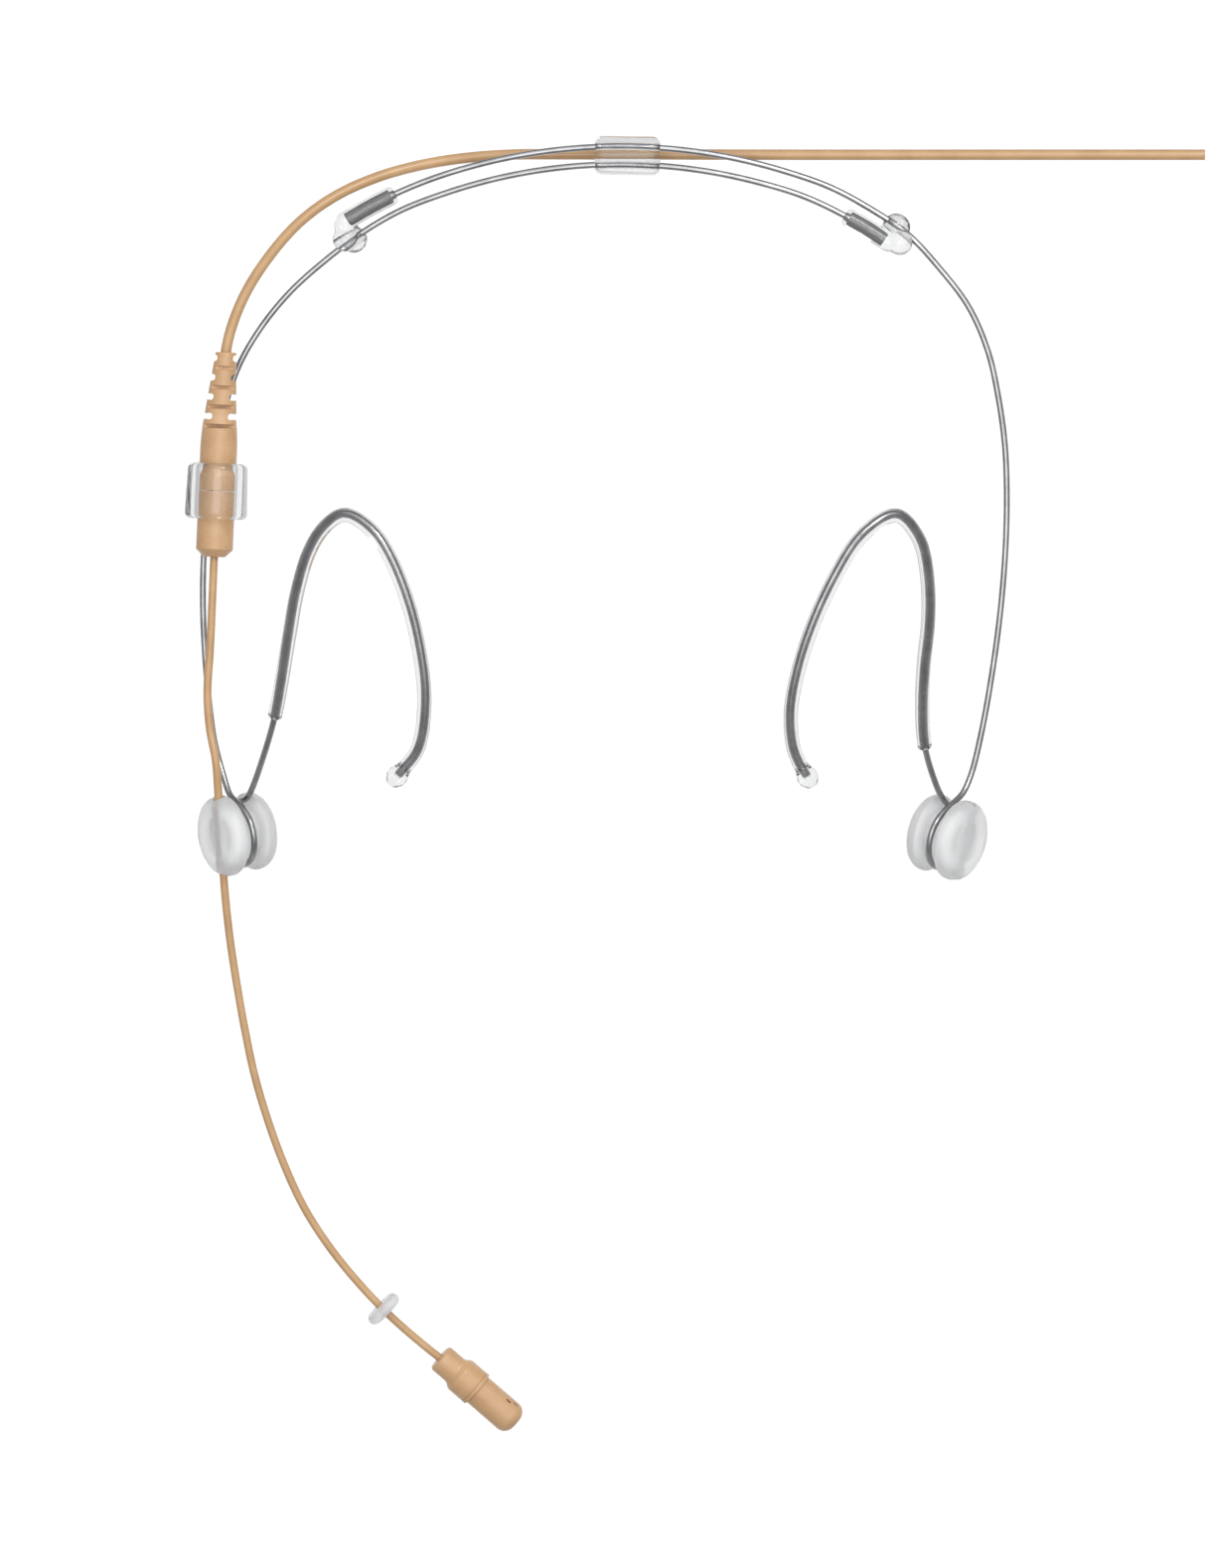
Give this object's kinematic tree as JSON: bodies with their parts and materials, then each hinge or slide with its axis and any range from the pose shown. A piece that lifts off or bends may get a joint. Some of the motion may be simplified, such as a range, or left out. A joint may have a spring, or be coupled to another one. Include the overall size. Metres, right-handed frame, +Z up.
{
  "type": "headset microphone",
  "caption": "Behind-the-head wire headset with ear hooks and cheek pads, a boom with a small capsule, and an in-line connector on a clipped cable.",
  "frame": {"origin": "midway between the centres of the two cheek pads", "axes": "+X towards the side with no boom, +Y towards the back of the head, +Z up the head when worn"},
  "size_m": [0.1592, 0.2024, 0.0474],
  "materials": {
    "spring_steel": "satin spring steel",
    "crimp_steel": "dull crimped steel",
    "clear_silicone": "clear and slightly milky silicone",
    "tan_plastic": "skin-tone satin moulding",
    "tan_jacket": "skin-tone cable jacket",
    "contact_brass": "bright",
    "insulator": "off-white moulding",
    "capsule_metal": "satin",
    "screen_black": "matte black"
  },
  "bodies": {
    "boom_side": {"boom_side_wire": "spring_steel", "boom_side_ear_tube": "clear_silicone", "boom_side_hook_tip": "clear_silicone", "boom_wire_slider": "clear_silicone", "boom_wire_crimp": "crimp_steel", "boom_lead": "tan_jacket", "cable_jacket": "tan_jacket", "cable_core": "contact_brass"},
    "plain_side": {"plain_side_wire": "spring_steel", "plain_side_ear_tube": "clear_silicone", "plain_side_hook_tip": "clear_silicone", "plain_wire_slider": "clear_silicone", "plain_wire_crimp": "crimp_steel"},
    "clip": {"band_clip": "clear_silicone"},
    "boom_pad": {"boom_side_pad": "clear_silicone"},
    "plain_pad": {"plain_side_pad": "clear_silicone"},
    "boom": {"boom_sheath": "tan_jacket", "boom_core_wire": "spring_steel", "mic_boot": "tan_plastic", "capsule_can": "capsule_metal", "capsule_diaphragm": "capsule_metal", "capsule_backplate": "contact_brass", "capsule_board": "insulator"},
    "ring": {"drip_ring": "clear_silicone"},
    "cap": {"mic_cap": "tan_plastic", "cap_screen": "screen_black"},
    "connector": {"connector_holder": "clear_silicone", "socket_shell": "tan_plastic", "socket_insulator": "insulator", "socket_contact_1": "contact_brass", "socket_contact_2": "contact_brass", "socket_contact_3": "contact_brass", "strain_relief": "tan_plastic"},
    "plug": {"plug_shell": "tan_plastic", "plug_insulator": "insulator", "plug_pin_1": "contact_brass", "plug_pin_2": "contact_brass", "plug_pin_3": "contact_brass", "connector_seal": "screen_black"}
  },
  "joints": [
    {"name": "band_slide", "type": "hinge", "parent": "boom_side", "child": "plain_side", "pos_m": [0.00425, 0.02, -0.0016], "axis": [0, 0, -1], "range_deg": [0, 15]},
    {"name": "clip_slide", "type": "hinge", "parent": "boom_side", "child": "clip", "pos_m": [0.00425, 0.02, -0.0016], "axis": [0, 0, -1], "range_deg": [-4, 4]},
    {"name": "boom_swing", "type": "hinge", "parent": "boom_side", "child": "boom_pad", "pos_m": [-0.055, 0.00025, 0], "axis": [-0.8521, -0.1504, 0.5013], "range_deg": [-20, 20], "deforming": ["boom_lead"]},
    {"name": "boom_reach", "type": "slide", "parent": "boom_pad", "child": "boom", "axis": [0.0675, -0.9814, -0.1797], "range_m": [-0.004, 0.004]},
    {"name": "ring_slide", "type": "slide", "parent": "boom", "child": "ring", "axis": [0.7176, -0.6877, -0.1096], "range_m": [-0.004, 0.004]},
    {"name": "cap_pull", "type": "slide", "parent": "boom", "child": "cap", "axis": [0.7516, -0.6521, -0.0996], "range_m": [0, 0.008]},
    {"name": "plain_pad_spin", "type": "hinge", "parent": "plain_side", "child": "plain_pad", "pos_m": [0.0549, -0.0002, 0], "axis": [0.8283, -0.2424, 0.5051], "continuous": true},
    {"name": "connector_slide", "type": "slide", "parent": "boom_side", "child": "connector", "axis": [-0.042, -0.9991, 0], "range_m": [-0.004, 0.004], "deforming": ["cable_jacket", "cable_core"]},
    {"name": "plug_pull", "type": "slide", "parent": "connector", "child": "plug", "axis": [-0.042, -0.9991, 0], "range_m": [0, 0.008]}
  ],
  "couplings": [
    {"joint": "connector_slide", "follows": "boom_reach", "ratio": 1}
  ]
}
